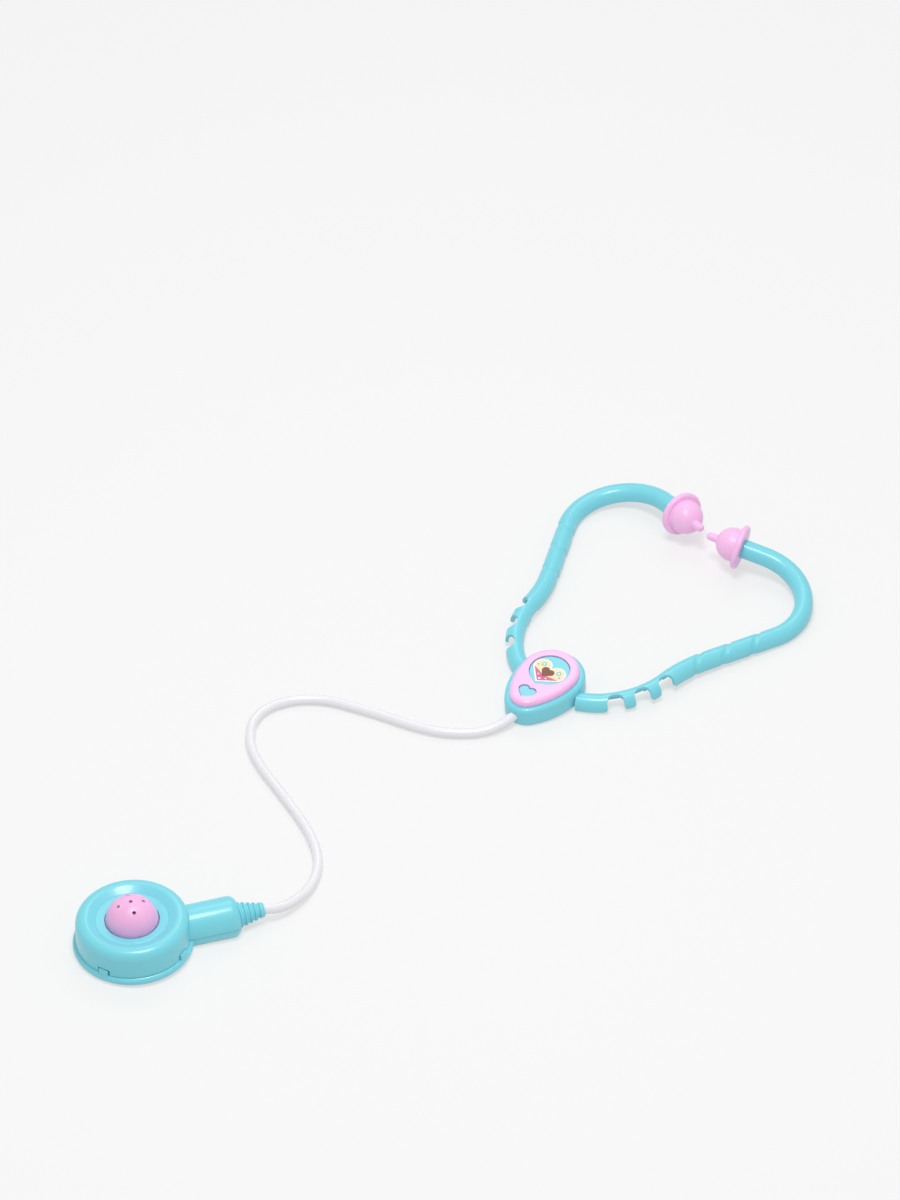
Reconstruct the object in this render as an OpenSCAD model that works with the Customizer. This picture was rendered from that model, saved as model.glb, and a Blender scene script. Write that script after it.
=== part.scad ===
// Toy stethoscope: chest piece with a push button, soft hose, two-armed headset
// Millimetres, +Z up, origin at the centre of the chest piece's flat underside

/* [Chest piece] */
// Outer radius of the base flange
flange_r = 35.2; // [34.5:0.1:41]
// Edge rounding of the base flange
flange_round = 2.4; // [1.8:0.1:2.4]
// Height of the parting line above the underside
parting_h = 5; // [5:0.1:6]
// Wall thickness of base and cover
chest_wall = 2; // [1.6:0.1:2.2]
// Width of the flange beyond the cover
lip_w = 1.8; // [1.6:0.1:3]
// How much the cover narrows up to its rim
cover_draft = 0.6; // [0.4:0.1:1]
// Height of the rim crest
cover_h = 22.8; // [21:0.2:26]
// Rounding radius of the rim
rim_round = 5.5; // [5:0.1:6]
// Width of the slope from the rim crest to the dish floor
dish_slope = 6; // [5:0.1:6.5]
// Depth of the dish floor below the rim crest
dish_depth = 2.7; // [2:0.1:4]

/* [Push button] */
// Radius of the domed button
dome_r = 15.4; // [14:0.1:17]
// Gap between the domed button and its hole
dome_gap = 0.5; // [0.4:0.1:0.7]
// How far the dome's middle lies below the dish floor
dome_sink = 1.1; // [0.8:0.1:1.6]
// Wall thickness of the dome
dome_wall = 1.8; // [1.4:0.1:2.2]
// Depth of the dome's skirt below its equator
dome_skirt = 4; // [3:0.5:5]
// Width of the retaining flange beyond the hole edge
dome_catch = 2; // [1.5:0.1:2.5]
// Thickness of the retaining flange
dome_catch_t = 1.6; // [1.2:0.1:2]
// Radius of a sound hole
sound_hole_r = 1.1; // [0.8:0.1:1.3]
// Angle of the ring of sound holes from the dome's axis
sound_hole_lean = 29.5; // [27:0.5:32]
// Sound holes in the ring
sound_hole_n = 4; // [3:1:6]

/* [Squeaker] */
// Outer radius of the bellows
bellows_r = 10.8; // [10:0.1:11]
// Radius of the bellows at the folds and the top
bellows_fold_r = 8.2; // [7.8:0.1:8.4]
// Wall thickness of the bellows
bellows_wall = 0.8; // [0.6:0.1:1]
// Pleats of the bellows
bellows_pleats = 5; // [4:1:7]
// Radius of the reed insert
reed_r = 5; // [4.5:0.1:6]
// Height of the reed insert
reed_h = 5; // [4:0.5:6]
// Bore radius of the reed insert
reed_bore_r = 1.5; // [1:0.1:2]

/* [Stem and strain relief] */
// Outer radius of the stem
stem_r = 12.3; // [12:0.1:13]
// Distance of the stem's end face from the chest axis
stem_end = 62.6; // [58:0.2:70]
// Rounding of the stem's end
stem_round = 5; // [4.6:0.1:5.5]
// How far the stem's flat underside lies below its axis
stem_drop = 8.2; // [8.1:0.1:9]
// How far the stem's lower half starts inside the flange edge
stem_inset = 7; // [6:0.5:9]
// Compass angle of the stem
stem_azimuth = 54.7; // [45:0.1:60]
// Length of the strain relief outside the stem
boot_len = 15.4; // [12:0.2:20]
// Radius of the strain relief at the stem
boot_r = 7.8; // [7:0.1:8]
// Radius of the strain relief at its tip
boot_tip_r = 4.4; // [4.2:0.1:5.5]
// Ribs on the strain relief
boot_ribs = 5; // [3:1:6]
// Depth of the grooves between the ribs
boot_groove = 0.9; // [0.5:0.1:1]
// Radius of the strain relief's neck in the stem's end wall
boot_neck_r = 5; // [4.6:0.1:5.4]
// Radius of the collar inside the stem
boot_collar_r = 6; // [5.6:0.1:6]
// Thickness of the collar inside the stem
boot_collar_t = 2; // [1.5:0.1:3]

/* [Hose] */
// Outer radius of the hose
hose_r = 3; // [2.5:0.1:3.4]
// Depth of the hose in its sockets
hose_depth = 8; // [6:0.5:9]
// Height of the hose entry above the yoke's underside
hose_entry_h = 6; // [5.9:0.1:6.2]

/* [Yoke] */
// Radius of the yoke's round end
yoke_r = 20.8; // [20.4:0.1:21.6]
// Where the centre of the round end lies
yoke_mid = 40.3; // [40:0.1:40.6]
// Radius of the yoke's long sides
yoke_side_r = 49.3; // [47:0.1:56]
// Radius of the yoke's nose
yoke_nose_r = 13.3; // [12.8:0.1:14]
// Height of the yoke's shoulder
yoke_h = 13; // [12.6:0.1:14.5]
// Wall thickness of the yoke
yoke_wall = 2; // [1.6:0.1:2.2]
// Thickness of the back plate
yoke_back_t = 2.4; // [2.2:0.1:2.6]
// Inset of the underside's edge
yoke_foot_inset = 2; // [1:0.1:2.4]
// Height of the sloping edge at the underside
yoke_foot_h = 2.4; // [1.5:0.1:3]
// Inset of the shoulder's edge
yoke_shoulder_inset = 1.6; // [1:0.1:2]
// Height of the sloping edge at the shoulder
yoke_shoulder_h = 1.8; // [1:0.1:2]

/* [Fascia] */
// Inset of the fascia from the yoke's side
fascia_inset = 3.3; // [3:0.1:4]
// Thickness of the fascia
fascia_t = 4; // [3.6:0.1:4.6]
// Edge slope of the fascia
fascia_edge = 2; // [1.5:0.1:2.4]
// Radius of the large opening
window_r = 12.2; // [11.8:0.1:12.4]
// Where the centre of the large opening lies
window_mid = 39.9; // [39.6:0.1:40.2]
// Where the point of the large opening lies
window_tip = 26.2; // [25.6:0.1:26.6]
// Height of the raised floors in the openings
floor_rise = 3; // [2.5:0.1:3.4]
// Radius of a fascia peg
peg_r = 1.4; // [1.2:0.1:1.6]
// Length of a fascia peg
peg_len = 2.6; // [2.2:0.1:3]

/* [Hearts] */
// Lobe radius of the sticker
sticker_lobe_r = 5.75; // [5.5:0.05:5.8]
// Lobe distance from the middle of the sticker
sticker_lobe_x = 5.6; // [5.3:0.1:5.7]
// Where the sticker's lobes lie
sticker_lobe_mid = 40.1; // [39.8:0.1:40.4]
// Where the sticker's point lies
sticker_tip = 28; // [27.8:0.1:28.8]
// Turn of the sticker about the middle of its lobes
sticker_turn = -6; // [-8:1:8]
// Thickness of the sticker
sticker_t = 0.3; // [0.2:0.1:0.5]
// Lobe radius of the small heart
heart_lobe_r = 3.3; // [3:0.1:3.4]
// Lobe distance from the middle of the small heart
heart_lobe_x = 2.5; // [2.3:0.1:2.6]
// Where the small heart's lobes lie
heart_lobe_mid = 19.3; // [19:0.1:19.6]
// Where the small heart's point lies
heart_tip = 12.9; // [12.6:0.1:13.4]

/* [Arms] */
// Outer radius of the arm's round back
arm_r = 5.5; // [5.2:0.1:5.7]
// Wall thickness of the arm
arm_wall = 1.8; // [1.4:0.1:2]
// How far the side walls reach below the arm's axis
arm_drop = 2.8; // [2.4:0.1:2.8]
// Height of the arm's axis above the yoke's underside
arm_h = 2.8; // [2.8:0.1:3]
// Side distance of the arm's start
root_x = 19.9; // [19.7:0.1:20.2]
// Where the arm's start lies along the headset
root_y = 40.2; // [40:0.1:40.6]
// Direction of the arm at its start
root_turn = 26; // [24:0.5:28]
// Straight length of the arm's root
root_len = 4; // [3.5:0.1:6]
// Bend radius of the arm's root
root_bend_r = 43; // [40:1:50]
// Bend angle of the arm's root
root_bend = 18.5; // [16:0.5:21]
// Length of the flexible neck
neck_len = 41.2; // [38:0.2:46]
// Bend angle of the flexible neck
neck_bend = 40.2; // [37:0.2:44]
// Ribs of the flexible neck
neck_ribs = 2; // [1:1:3]
// Width of a rib of the flexible neck
rib_w = 6.3; // [5:0.1:7]
// Distance of the notch edge inside the arm's axis
notch_in = 0.3; // [0:0.1:0.8]
// How far the neck's spine reaches below the arm's axis
spine_drop = 1.6; // [1.2:0.1:2]
// Bend radius of the waist
waist_bend_r = 88; // [80:1:95]
// Bend angle of the waist
waist_bend = 18.9; // [16:0.1:22]
// Length of the straight shaft
shaft_len = 46.5; // [40:0.5:52]
// Bend radius of the crook
crook_bend_r = 33.1; // [31:0.1:36]
// Bend angle of the crook
crook_bend = 131.4; // [128:0.2:135]
// Straight length before the ear tip
tip_len = 14.7; // [10:0.1:16]
// How far the arm's end rises out of the arm's plane
tip_rise = 13; // [11:0.1:15]
// Length over which the arm's end rises
rise_len = 92; // [84:1:96]

/* [Ear tips] */
// Radius of the ear tip's flange
ear_flange_r = 13.6; // [12:0.1:15]
// Thickness of the ear tip's flange
ear_flange_t = 4; // [3.6:0.1:4.4]
// Edge rounding of the ear tip's flange
ear_round = 1.6; // [1:0.1:1.7]
// Radius of the ear tip's dome
ear_dome_r = 10.2; // [9.4:0.1:10.6]
// Straight length of the ear tip's dome
ear_dome_len = 2.6; // [2:0.1:3]
// Radius of the nub
nub_r = 2.5; // [2:0.1:3]
// Length of the nub beyond the dome
nub_len = 6.4; // [5:0.1:6.6]
// Radius of the spigot in the ear tip
spigot_r = 3.6; // [3:0.1:4]
// Length of the spigot in the ear tip
spigot_len = 9; // [7:0.5:10]

/* [Lay] */
// Where the headset lies sideways
headset_x = 51.5; // [40:0.5:60]
// Where the headset lies along
headset_y = 278.8; // [270:0.2:290]
// How far the two arms lean to one side as they lie
arm_lean = 1.5; // [0:0.1:3]
// How far the arms dip from the yoke's plane as they lie
arm_dip = 5; // [4:0.1:5.2]
// Tilt of the yoke as it lies
headset_tilt = 3.24; // [3:0.01:3.5]

/* [Hidden] */
$fn = 72;

// Colours
aqua = [0.55, 0.86, 0.90];
pink = [1, 0.78, 0.94];
white = [0.93, 0.93, 0.94];
steel = [0.7, 0.7, 0.72];

// Cuts run on by this much past a face
over = 1;
// Play between pieces that only lie beside each other
play = 0.3;
// Radial play of a plug in its socket
fit = 0.12;
// Thickness of a slice that shapes a sloping edge
slice = 0.1;
// Gap between a flexible neck and its moving arm
flex_gap = 0.25;
// Half width of the arm's side walls as a share of its radius
side_share = 0.985;
// Steps of an outline arc
arc_n = 10;

// Chest piece
dish_h = cover_h - dish_depth;
hole_r = dome_r + dome_gap;
cover_r = flange_r - lip_w;
rim_x = cover_r - cover_draft - rim_round;
dish_r = rim_x - dish_slope;
stem_start = flange_r - stem_inset;
rim_y = cover_h - rim_round;
dome_mid = dish_h - dome_sink;
catch_top = dish_h - chest_wall - play;
// Standing ring that locates the cover
ring_h = 2;
ring_t = 1.4;
ring_r = cover_r - chest_wall - play;
// Snap lugs between base and cover
lug_n = 4;
lug_turn = 45;
lug_w = 7;
lug_h = 3.4;
lug_proud = 1;
// Seat ring of the bellows on the base
seat_t = 1.2;
seat_h = 2;

// Tilt of the chest piece as it lies on the flange edge and the end of the stem's flat underside
stem_low = parting_h - stem_drop;
stem_foot = stem_end - stem_round + sqrt(pow(stem_round, 2) - pow(stem_drop - stem_r + stem_round, 2));
lay_a = flange_r - flange_round + stem_foot;
lay_b = flange_round - stem_low;
chest_tilt = atan(lay_b / lay_a) - asin(flange_round / norm([lay_a, lay_b]));
floor_z = -(flange_r - flange_round) * sin(chest_tilt) + flange_round * (cos(chest_tilt) - 1);

// Yoke outlines share their centres
nose_reach = yoke_side_r - yoke_nose_r;
side_x = yoke_side_r - yoke_r;
nose_mid = yoke_mid - sqrt(nose_reach * nose_reach - side_x * side_x);
nose_turn = asin(side_x / nose_reach);
// Screws, their posts and the posts of the arm lugs
screw_r = 1.2;
screw_head_r = 2.4;
screw_head_t = 1.6;
screw_len = 7;
screw_recess = 0.4;
screw_post_r = 3;
screw_low = 21;
screw_high = 54;
screw_spots = [[0, screw_low], [0, screw_high]];
lug_post_r = 2;
lug_post_h = 3.2;
arm_lug_len = 8;
arm_lug_w = 9;
arm_lug_t = 3;
arm_lug_hole = 4.6;
// Hose socket in the yoke
socket_r = 5;
socket_end = nose_mid - yoke_nose_r + hose_depth + yoke_wall;
// Fascia pegs
peg_x = 15;

// Arm path: point and direction at the start of each stretch, right arm
function dir(a) = [cos(a), sin(a)];
function left(a) = [-sin(a), cos(a)];
root_start = [root_x, root_y];
bend_start = root_start + root_len * dir(root_turn);
root_mid = bend_start + root_bend_r * left(root_turn);
neck_turn = root_turn + root_bend;
neck_start = root_mid - root_bend_r * left(neck_turn);
function neck_sweep(k) = neck_bend + k * arm_lean;
function neck_bend_r(k) = neck_len / neck_sweep(k) * 180 / PI;
function neck_mid(k) = neck_start + neck_bend_r(k) * left(neck_turn);
function arm_turn(k) = neck_turn + neck_sweep(k);
function arm_start(k) = neck_mid(k) - neck_bend_r(k) * left(arm_turn(k));
// Arm stretches in the arm's own frame, which starts along +X
shaft_start = waist_bend_r * [sin(waist_bend), cos(waist_bend) - 1];
crook_start = shaft_start + shaft_len * dir(-waist_bend);
crook_mid = crook_start + crook_bend_r * left(-waist_bend);
tip_turn = crook_bend - waist_bend;
tip_start = crook_mid - crook_bend_r * left(tip_turn);
tip_end = tip_start + tip_len * dir(tip_turn);
waist_len = waist_bend_r * waist_bend * PI / 180;
crook_len = crook_bend_r * crook_bend * PI / 180;
arm_len = waist_len + shaft_len + crook_len + tip_len;

// Where the yoke's nose touches the floor
foot_y = nose_mid - yoke_nose_r + yoke_foot_inset;

// Places of the hose ends
function chest_spot(x, h) = [
    (x * cos(chest_tilt) - h * sin(chest_tilt)) * cos(stem_azimuth),
    (x * cos(chest_tilt) - h * sin(chest_tilt)) * sin(stem_azimuth),
    x * sin(chest_tilt) + h * cos(chest_tilt)];
function headset_spot(y, h) = [
    headset_x,
    headset_y + foot_y + (y - foot_y) * cos(headset_tilt) - h * sin(headset_tilt),
    floor_z + (y - foot_y) * sin(headset_tilt) + h * cos(headset_tilt)];
boot_tip = stem_end + boot_len;
yoke_nose = nose_mid - yoke_nose_r;
// Height of the hose above the floor
hose_lift = 0.1;
hose_low = floor_z + hose_r + hose_lift;
// Route of the hose over the floor, chosen by hand
hose_route = concat(
    [chest_spot(boot_tip - hose_depth, parting_h), chest_spot(boot_tip, parting_h)],
    [[49.9, 71.2, 6.4], [51.9, 85, 4.4], [50.1, 98.5, 2.8], [44.7, 111.2, 2.1]],
    [for (p = [[36.5, 121.8], [25, 130.8], [11.5, 138.3], [-4.5, 145.3], [-21.5, 152.3], [-37, 158.8],
               [-50.5, 166.8], [-60, 176.3], [-66, 187.3], [-66.5, 198.8], [-62, 210.3],
               [-53.5, 220.3], [-42, 227.8], [-27.5, 232.8], [-10, 237.8], [8.5, 242.3], [23.5, 247.8],
               [35, 255.3], [43.5, 263.8]]) [p.x, p.y, hose_low]],
    [[49, 273.4, 3.2], headset_spot(yoke_nose, hose_entry_h),
     headset_spot(yoke_nose + hose_depth, hose_entry_h)]);
hose_sides = 12;

// Placing
module chest_place() {
    rotate([0, -chest_tilt, stem_azimuth]) children();
}
module headset_place() {
    translate([headset_x, headset_y + foot_y, floor_z])
        rotate([headset_tilt, 0, 0])
            translate([0, -foot_y, 0]) children();
}
module on_stem() {
    translate([0, 0, parting_h]) rotate([0, 90, 0]) children();
}
module side(k) {
    scale([k, 1, 1]) translate([0, 0, arm_h]) children();
}
module at_arm(k) {
    translate([arm_start(k).x, arm_start(k).y, 0]) rotate([0, 0, arm_turn(k)]) children();
}

// Chest profiles, radius to the right and height up
module flange_profile() {
    square([flange_r - flange_round, parting_h]);
    translate([0, flange_round]) square([flange_r, parting_h - 2 * flange_round + slice / 2]);
    translate([flange_r - flange_round, flange_round]) circle(flange_round);
    translate([flange_r - flange_round, parting_h - flange_round]) circle(flange_round);
}
module cover_profile(inset, from) {
    polygon([[0, from], [cover_r - inset, from], [rim_x + rim_round - inset, rim_y],
             [rim_x, cover_h - inset], [dish_r, dish_h - inset], [0, dish_h - inset]]);
    translate([rim_x, rim_y]) circle(rim_round - inset);
}
module stem_form(inset) {
    on_stem() rotate_extrude() {
        square([stem_r - inset, stem_end - stem_round]);
        square([stem_r - stem_round, stem_end - inset]);
        translate([stem_r - stem_round, stem_end - stem_round]) circle(stem_round - inset);
    }
}
module below_parting(from, low) {
    translate([from, -flange_r, low]) cube([2 * stem_end, 2 * flange_r, parting_h - low]);
}
module above_parting() {
    translate([0, -flange_r, parting_h]) cube([2 * stem_end, 2 * flange_r, 2 * flange_r]);
}
module stem_hole() {
    on_stem() translate([0, 0, stem_start + chest_wall])
        cylinder(r = boot_neck_r + fit, h = stem_end);
}
module lugs(grow) {
    for (i = [0 : lug_n - 1])
        rotate([0, 0, lug_turn + i * 360 / lug_n])
            translate([cover_r - chest_wall + fit - 2 * grow, -lug_w / 2 - grow, parting_h - over])
                cube([chest_wall + lug_proud - fit + 4 * grow, lug_w + 2 * grow, over + lug_h + grow]);
}

// Chest piece
module chest_base() {
    color(aqua) chest_place() {
        difference() {
            union() {
                rotate_extrude() flange_profile();
                intersection() {
                    stem_form(0);
                    below_parting(stem_start, stem_low);
                }
                lugs(0);
                translate([0, 0, chest_wall]) cylinder(r = ring_r, h = parting_h - chest_wall + ring_h);
            }
            translate([0, 0, chest_wall]) cylinder(r = ring_r - ring_t, h = parting_h + ring_h);
            intersection() {
                stem_form(chest_wall);
                translate([stem_start + chest_wall, -flange_r, stem_low + chest_wall])
                    cube([2 * stem_end, 2 * flange_r, 2 * flange_r]);
            }
            stem_hole();
        }
        translate([0, 0, chest_wall - slice]) difference() {
            cylinder(r = bellows_r + play + seat_t, h = seat_h + slice);
            translate([0, 0, -over]) cylinder(r = bellows_r + play, h = seat_h + 2 * over);
        }
    }
}

module chest_cover() {
    color(aqua) chest_place() difference() {
        union() {
            rotate_extrude() difference() {
                cover_profile(0, parting_h);
                translate([-2 * rim_x, 0]) square([2 * rim_x, 2 * cover_h]);
            }
            intersection() {
                stem_form(0);
                above_parting();
            }
        }
        rotate_extrude() difference() {
            cover_profile(chest_wall, parting_h - over);
            translate([-2 * rim_x, -over]) square([2 * rim_x, 2 * cover_h]);
        }
        stem_form(chest_wall);
        stem_hole();
        cylinder(r = hole_r, h = 2 * cover_h);
        lugs(play);
    }
}

module dome_button() {
    color(pink) chest_place() difference() {
        rotate_extrude() intersection() {
            union() {
                difference() {
                    union() {
                        translate([0, dome_mid]) circle(dome_r);
                        translate([0, dome_mid - dome_skirt]) square([dome_r, dome_skirt]);
                    }
                    translate([0, dome_mid]) circle(dome_r - dome_wall);
                    translate([0, -dome_r]) square([dome_r - dome_wall, dome_r + dome_mid]);
                }
                translate([dome_r - dome_wall, catch_top - dome_catch_t])
                    square([dome_wall + hole_r - dome_r + dome_catch, dome_catch_t]);
            }
            translate([0, dome_mid - dome_skirt]) square([2 * dome_r, 2 * dome_r]);
        }
        translate([0, 0, dome_mid]) cylinder(r = sound_hole_r, h = 2 * dome_r);
        for (i = [0 : sound_hole_n - 1])
            translate([0, 0, dome_mid])
                rotate([0, sound_hole_lean, i * 360 / sound_hole_n])
                    cylinder(r = sound_hole_r, h = 2 * dome_r);
    }
}

// The bellows reaches up to the inside of the dome
bellows_top = dome_mid + sqrt(pow(dome_r - dome_wall, 2) - pow(bellows_fold_r, 2)) - play;
pleat_h = (bellows_top - chest_wall) / bellows_pleats;
function pleat_points(inset) = [for (i = [0 : 2 * bellows_pleats])
    [(i % 2 == 0 ? bellows_fold_r : bellows_r) - inset, chest_wall + i * pleat_h / 2]];

module squeaker_bellows() {
    color(white) chest_place() rotate_extrude() difference() {
        polygon(concat([[0, chest_wall]], pleat_points(0), [[0, bellows_top]]));
        intersection() {
            polygon(concat([[0, chest_wall]], pleat_points(bellows_wall), [[0, bellows_top]]));
            square([bellows_r, bellows_top - bellows_wall]);
        }
        square([reed_r + fit, chest_wall + bellows_wall]);
    }
}

module squeaker_reed() {
    color(white) chest_place() translate([0, 0, chest_wall]) difference() {
        cylinder(r = reed_r, h = reed_h);
        translate([0, 0, chest_wall]) cylinder(r = reed_bore_r, h = reed_h);
    }
}

// Ribs and grooves of the strain relief
rib_step = boot_len / (2 * boot_ribs);
function boot_at(t) = boot_r + (boot_tip_r - boot_r) * t / boot_len;
boot_points = [for (i = [0 : 2 * boot_ribs - 1]) for (e = [0, 1])
    [boot_at((i + e) * rib_step) - (i % 2 == 1 && i < 2 * boot_ribs - 1 ? boot_groove : 0),
     stem_end + (i + e) * rib_step]];

module strain_relief() {
    color(aqua) chest_place() on_stem() rotate_extrude() difference() {
        union() {
            polygon(concat([[0, stem_end]], boot_points, [[0, boot_tip]]));
            translate([0, stem_end - chest_wall - boot_collar_t])
                square([boot_neck_r, chest_wall + boot_collar_t + slice]);
            translate([0, stem_end - chest_wall - boot_collar_t - fit])
                square([boot_collar_r, boot_collar_t]);
        }
        square([hose_r + fit, 2 * stem_end]);
    }
}

// A skin over rings of points that turn left round their way
function cap(n, from) = [for (j = [0 : n - 1]) from + j];
function cap_back(n, from) = [for (j = [n - 1 : -1 : 0]) from + j];
function wall_faces(rows, n) = [for (i = [0 : rows - 2]) for (j = [0 : n - 1])
    [i * n + j, (i + 1) * n + j, (i + 1) * n + (j + 1) % n, i * n + (j + 1) % n]];
module skin(rings) {
    rows = len(rings);
    n = len(rings[0]);
    polyhedron(points = [for (r = rings) each r],
               faces = concat([cap(n, 0)], wall_faces(rows, n), [cap_back(n, (rows - 1) * n)]));
}

// Hose: rings round the route
function unit(v) = v / norm(v);
function hose_dir(i) = unit(hose_route[min(i + 1, len(hose_route) - 1)] - hose_route[max(i - 1, 0)]);
function hose_side(i) = unit(cross(hose_dir(i), [0, 0, 1]));
function hose_point(i, a) = hose_route[i]
    + hose_r * (cos(a) * hose_side(i) + sin(a) * cross(hose_dir(i), hose_side(i)));

module hose() {
    color(white) skin([for (i = [0 : len(hose_route) - 1])
        [for (j = [0 : hose_sides - 1]) hose_point(i, j * 360 / hose_sides)]]);
}

// Yoke outline: round end, long sides, nose
function arc(c, r, a, b, n) = [for (i = [0 : n - 1]) c + r * dir(a + (b - a) * i / n)];
function egg(inset) = concat(
    arc([0, yoke_mid], yoke_r - inset, 0, 180, 2 * arc_n),
    arc([side_x, yoke_mid], yoke_side_r - inset, 180, 270 - nose_turn, arc_n),
    arc([0, nose_mid], yoke_nose_r - inset, 270 - nose_turn, 270 + nose_turn, arc_n),
    arc([-side_x, yoke_mid], yoke_side_r - inset, 270 + nose_turn, 360, arc_n));

function egg_ring(inset, z) = [for (p = egg(inset)) [p.x, p.y, z]];
module yoke_form(inset) {
    skin([egg_ring(yoke_foot_inset + inset, 0), egg_ring(inset, yoke_foot_h),
          egg_ring(inset, yoke_h - yoke_shoulder_h), egg_ring(yoke_shoulder_inset + inset, yoke_h)]);
}
module yoke_layer(from, to) {
    translate([-2 * yoke_r, 0, from]) cube([4 * yoke_r, 4 * yoke_r, to - from]);
}

// Openings: a circle or two lobes with a point below
function tangent(tip, mid, r) =
    let (v = mid - tip, d = norm(v), a = atan2(v.y, v.x) - asin(r / d))
    tip + sqrt(d * d - r * r) * dir(a);
function flip(p) = [-p.x, p.y];
module heart(tip_y, lobe_x, lobe_y, lobe_r) {
    tip = [0, tip_y];
    mid = [lobe_x, lobe_y];
    edge = tangent(tip, mid, lobe_r);
    polygon([tip, edge, mid, [0, lobe_y], flip(mid), flip(edge)]);
    for (s = [-1, 1]) translate([s * lobe_x, lobe_y]) circle(lobe_r);
}
module window(inset) {
    heart(window_tip + inset, 0, window_mid, window_r - inset);
}
module small_heart(inset) {
    heart(heart_tip + inset, heart_lobe_x, heart_lobe_mid, heart_lobe_r - inset);
}

// Solid arm section
module arm_outline(r, below) {
    circle(r);
    translate([-r * side_share, -below]) square([2 * r * side_share, below]);
}
module straight(p, a, length) {
    translate([p.x, p.y, 0]) rotate([90, 0, a + 90]) linear_extrude(length) children();
}
module bend_left(c, a, sweep) {
    translate([c.x, c.y, 0]) rotate([0, 0, a - 90]) rotate_extrude(angle = sweep) children();
}

// Channel along stops, each a point and a direction, on the arms with a lift and a slope
function half(r) = concat([[r, -arm_drop]], [for (i = [0 : arc_n]) r * dir(i * 180 / arc_n)], [[-r, -arm_drop]]);
function reversed(v) = [for (i = [len(v) - 1 : -1 : 0]) v[i]];
channel_points = concat(half(arm_r), reversed(half(arm_r - arm_wall)));
function channel_ring(stop) = let (lift = len(stop) > 2 ? stop[2] : 0, slope = len(stop) > 2 ? stop[3] : 0)
    [for (q = channel_points) let (p = stop[0] + q.x * left(stop[1]) - q.y * sin(slope) * dir(stop[1]))
        [p.x, p.y, lift + q.y * cos(slope)]];
function strip(n, from) = [for (j = [0 : n / 2 - 2]) [from + j, from + j + 1, from + n - 2 - j, from + n - 1 - j]];
function strip_back(n, from) = [for (f = strip(n, from)) reversed(f)];
module channel(stops) {
    rows = len(stops);
    n = len(channel_points);
    polyhedron(points = [for (stop = stops) each channel_ring(stop)],
               faces = concat(strip(n, 0), wall_faces(rows, n), strip_back(n, (rows - 1) * n)));
}
root_stops = concat([[root_start, root_turn]],
    [for (i = [0 : arc_n / 2]) let (a = root_turn + root_bend * i / (arc_n / 2)) [root_mid - root_bend_r * left(a), a]]);
function neck_stops(k) = [for (i = [0 : arc_n])
    let (a = neck_turn + neck_sweep(k) * (1 - flex_gap / neck_len) * i / arc_n)
    [neck_mid(k) - neck_bend_r(k) * left(a), a]];
function risen(s) = max(0, (s - arm_len + rise_len) / rise_len);
function arm_lift(k, p, s) = tip_rise * (2 * pow(risen(s), 2) - pow(risen(s), 3))
    - tan(arm_dip) * (p.x * sin(arm_turn(k)) + p.y * cos(arm_turn(k)));
function arm_slope(k, a, s) = s == 0 ? 0
    : atan(tip_rise / rise_len * (4 * risen(s) - 3 * pow(risen(s), 2)) - tan(arm_dip) * sin(arm_turn(k) + a));
function arm_stop(k, p, a, s) = [p, a, arm_lift(k, p, s), arm_slope(k, a, s)];
function arm_stops(k) = concat(
    [for (i = [0 : arc_n / 2]) let (part = i / (arc_n / 2), a = -waist_bend * part)
        arm_stop(k, [0, -waist_bend_r] + waist_bend_r * left(a), a, waist_len * part)],
    [for (i = [0 : 2 * arc_n]) let (part = i / (2 * arc_n), a = -waist_bend + crook_bend * part)
        arm_stop(k, crook_mid - crook_bend_r * left(a), a, waist_len + shaft_len + crook_len * part)],
    [arm_stop(k, tip_end, tip_turn, arm_len)]);
module at_tip(k) {
    translate([tip_end.x, tip_end.y, arm_lift(k, tip_end, arm_len)])
        rotate([0, 0, tip_turn]) rotate([0, -arm_slope(k, tip_turn, arm_len), 0]) rotate([90, 0, 90]) children();
}

// Yoke
module arm_slots(depth) {
    for (k = [-1, 1]) side(k)
        straight(root_start - depth * dir(root_turn), root_turn, depth + 3 * yoke_wall)
            arm_outline(arm_r + play / 2, arm_drop + over);
}
module hose_bore() {
    translate([0, yoke_nose - over, hose_entry_h]) rotate([-90, 0, 0])
        cylinder(r = hose_r + fit, h = hose_depth + play + over);
}

module yoke_front() {
    color(aqua) headset_place() {
        difference() {
            union() {
                difference() {
                    intersection() {
                        yoke_form(0);
                        yoke_layer(yoke_back_t, yoke_h);
                    }
                    intersection() {
                        yoke_form(yoke_wall);
                        yoke_layer(0, yoke_h - yoke_wall);
                    }
                }
                intersection() {
                    yoke_form(yoke_wall / 2);
                    translate([0, 0, hose_entry_h]) rotate([-90, 0, 0]) cylinder(r = socket_r, h = socket_end);
                    yoke_layer(yoke_back_t + play, yoke_h);
                }
                for (p = screw_spots) translate([p.x, p.y, yoke_back_t])
                    cylinder(r = screw_post_r, h = yoke_h - yoke_back_t - yoke_wall / 2);
            }
            arm_slots(2 * yoke_wall);
            hose_bore();
            for (s = [-1, 1]) translate([s * peg_x, yoke_mid, yoke_h - yoke_wall - over])
                cylinder(r = peg_r + fit, h = yoke_wall + 2 * over);
            for (p = screw_spots) translate([p.x, p.y, 0]) cylinder(r = screw_r + fit, h = yoke_h - yoke_wall);
        }
        translate([0, 0, yoke_h]) linear_extrude(floor_rise) window(play);
        translate([0, 0, yoke_h]) linear_extrude(floor_rise) small_heart(play);
    }
}

// Middle of an arm lug's hole
lug_spot = root_start - arm_lug_hole * dir(root_turn);

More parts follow.
